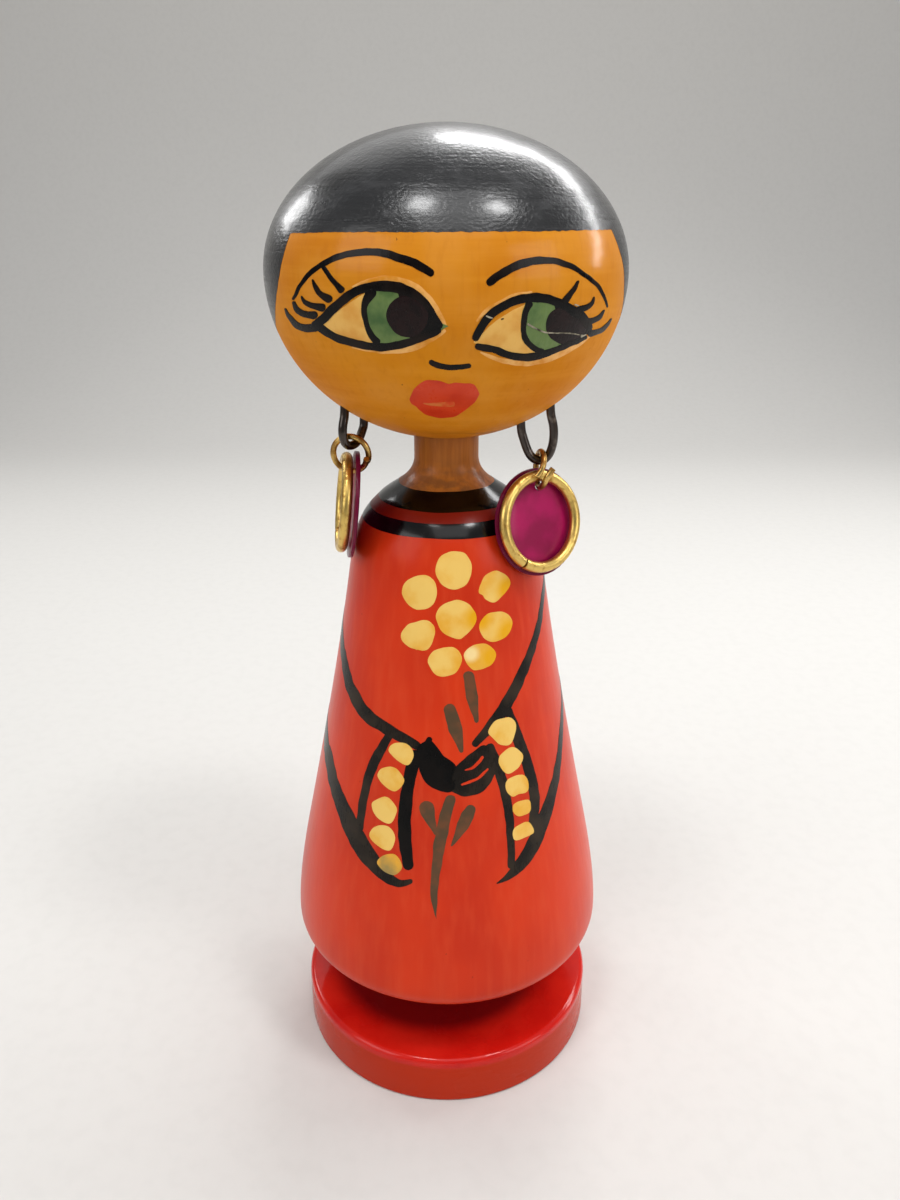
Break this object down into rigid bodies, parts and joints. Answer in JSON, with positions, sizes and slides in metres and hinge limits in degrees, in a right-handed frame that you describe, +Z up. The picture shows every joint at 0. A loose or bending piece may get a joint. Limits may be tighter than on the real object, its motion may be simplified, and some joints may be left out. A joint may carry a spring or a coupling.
{
  "type": "folk art doll",
  "caption": "Turned and painted wooden doll on a round base, with a large egg-shaped head and wire hoop earrings that swing from staples under it.",
  "frame": {"origin": "centre of the base's underside", "axes": "+Z up along the turning axis, -Y the way the face looks, +X the viewer's right"},
  "size_m": [0.064, 0.064, 0.18],
  "materials": {
    "crimson_paint": "gloss enamel over turned wood",
    "bare_wood": "plain",
    "red_paint": "satin enamel over turned wood, neck left as stained wood",
    "tan_varnish": "satin varnish over stain, hair and features painted in gloss black",
    "blackened_iron": "blackened wire",
    "brass_wire": "dull brass",
    "gilt_wire": "worn gilt",
    "magenta_plastic": "smooth, slightly scuffed"
  },
  "bodies": {
    "doll": {"base": "crimson_paint", "base_dowel": "bare_wood", "body": "red_paint", "head": "tan_varnish", "left_ear_staple": "blackened_iron", "right_ear_staple": "blackened_iron"},
    "left_link": {"left_jump_ring": "brass_wire"},
    "left_hoop_body": {"left_hoop": "gilt_wire"},
    "left_disc_body": {"left_disc": "magenta_plastic"},
    "right_link": {"right_jump_ring": "brass_wire"},
    "right_hoop_body": {"right_hoop": "gilt_wire"},
    "right_disc_body": {"right_disc": "magenta_plastic"}
  },
  "joints": [
    {"name": "left_ring_swing", "type": "hinge", "parent": "doll", "child": "left_link", "pos_m": [-0.0166, -0.0075, 0.12873], "axis": [0.5736, 0.8192, 0], "range_deg": [0, 30]},
    {"name": "left_hoop_swing", "type": "hinge", "parent": "left_link", "child": "left_hoop_body", "pos_m": [-0.01768, -0.00702, 0.12425], "axis": [-0.9829, -0.1443, 0.1144], "range_deg": [-35, 35]},
    {"name": "left_disc_swing", "type": "hinge", "parent": "left_link", "child": "left_disc_body", "pos_m": [-0.01592, -0.00728, 0.12423], "axis": [-0.9829, -0.1443, 0.1144], "range_deg": [-25, 35]},
    {"name": "right_ring_swing", "type": "hinge", "parent": "doll", "child": "right_link", "pos_m": [0.0166, -0.0075, 0.12603], "axis": [-1, 0, 0], "range_deg": [0, 60]},
    {"name": "right_hoop_swing", "type": "hinge", "parent": "right_link", "child": "right_hoop_body", "pos_m": [0.01669, -0.00924, 0.12174], "axis": [0.5736, -0.7874, 0.2258], "range_deg": [-35, 35]},
    {"name": "right_disc_swing", "type": "hinge", "parent": "right_link", "child": "right_disc_body", "pos_m": [0.01636, -0.00739, 0.12149], "axis": [0.5736, -0.7874, 0.2258], "range_deg": [-25, 35]}
  ]
}
